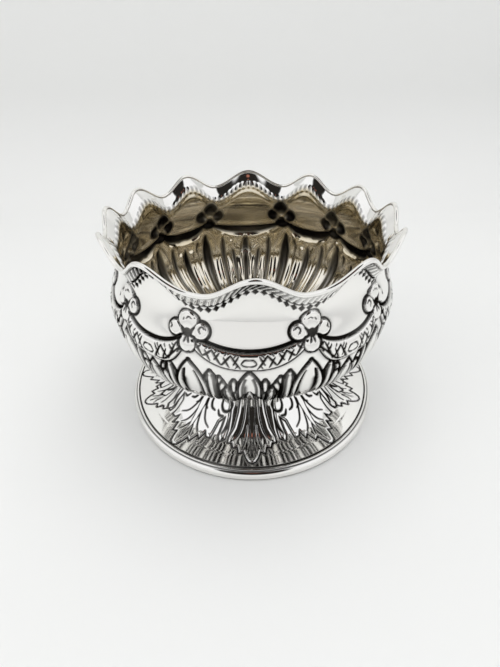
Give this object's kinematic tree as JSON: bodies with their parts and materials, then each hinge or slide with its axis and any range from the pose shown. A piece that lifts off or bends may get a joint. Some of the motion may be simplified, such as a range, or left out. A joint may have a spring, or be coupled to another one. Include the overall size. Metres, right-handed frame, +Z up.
{
  "type": "footed sugar bowl",
  "caption": "Round footed sugar bowl of chased silver, with a full belly, a wavy turned-out rim edged with wire, and a spreading foot with a moulded edge.",
  "frame": {"origin": "centre of the foot's resting face", "axes": "+Z up along the bowl's axis; -Y towards the front, which one of the crests of the rim faces"},
  "size_m": [0.116, 0.116, 0.0874],
  "materials": {
    "silver_sheet": "polished",
    "silver_wire": "polished",
    "silver_solder": "satin"
  },
  "bodies": {
    "root": {"bowl": "silver_sheet", "rim_wire": "silver_wire", "rim_solder": "silver_solder", "foot": "silver_sheet", "foot_joint_solder": "silver_solder", "foot_wire": "silver_wire", "foot_wire_solder": "silver_solder"}
  },
  "joints": []
}
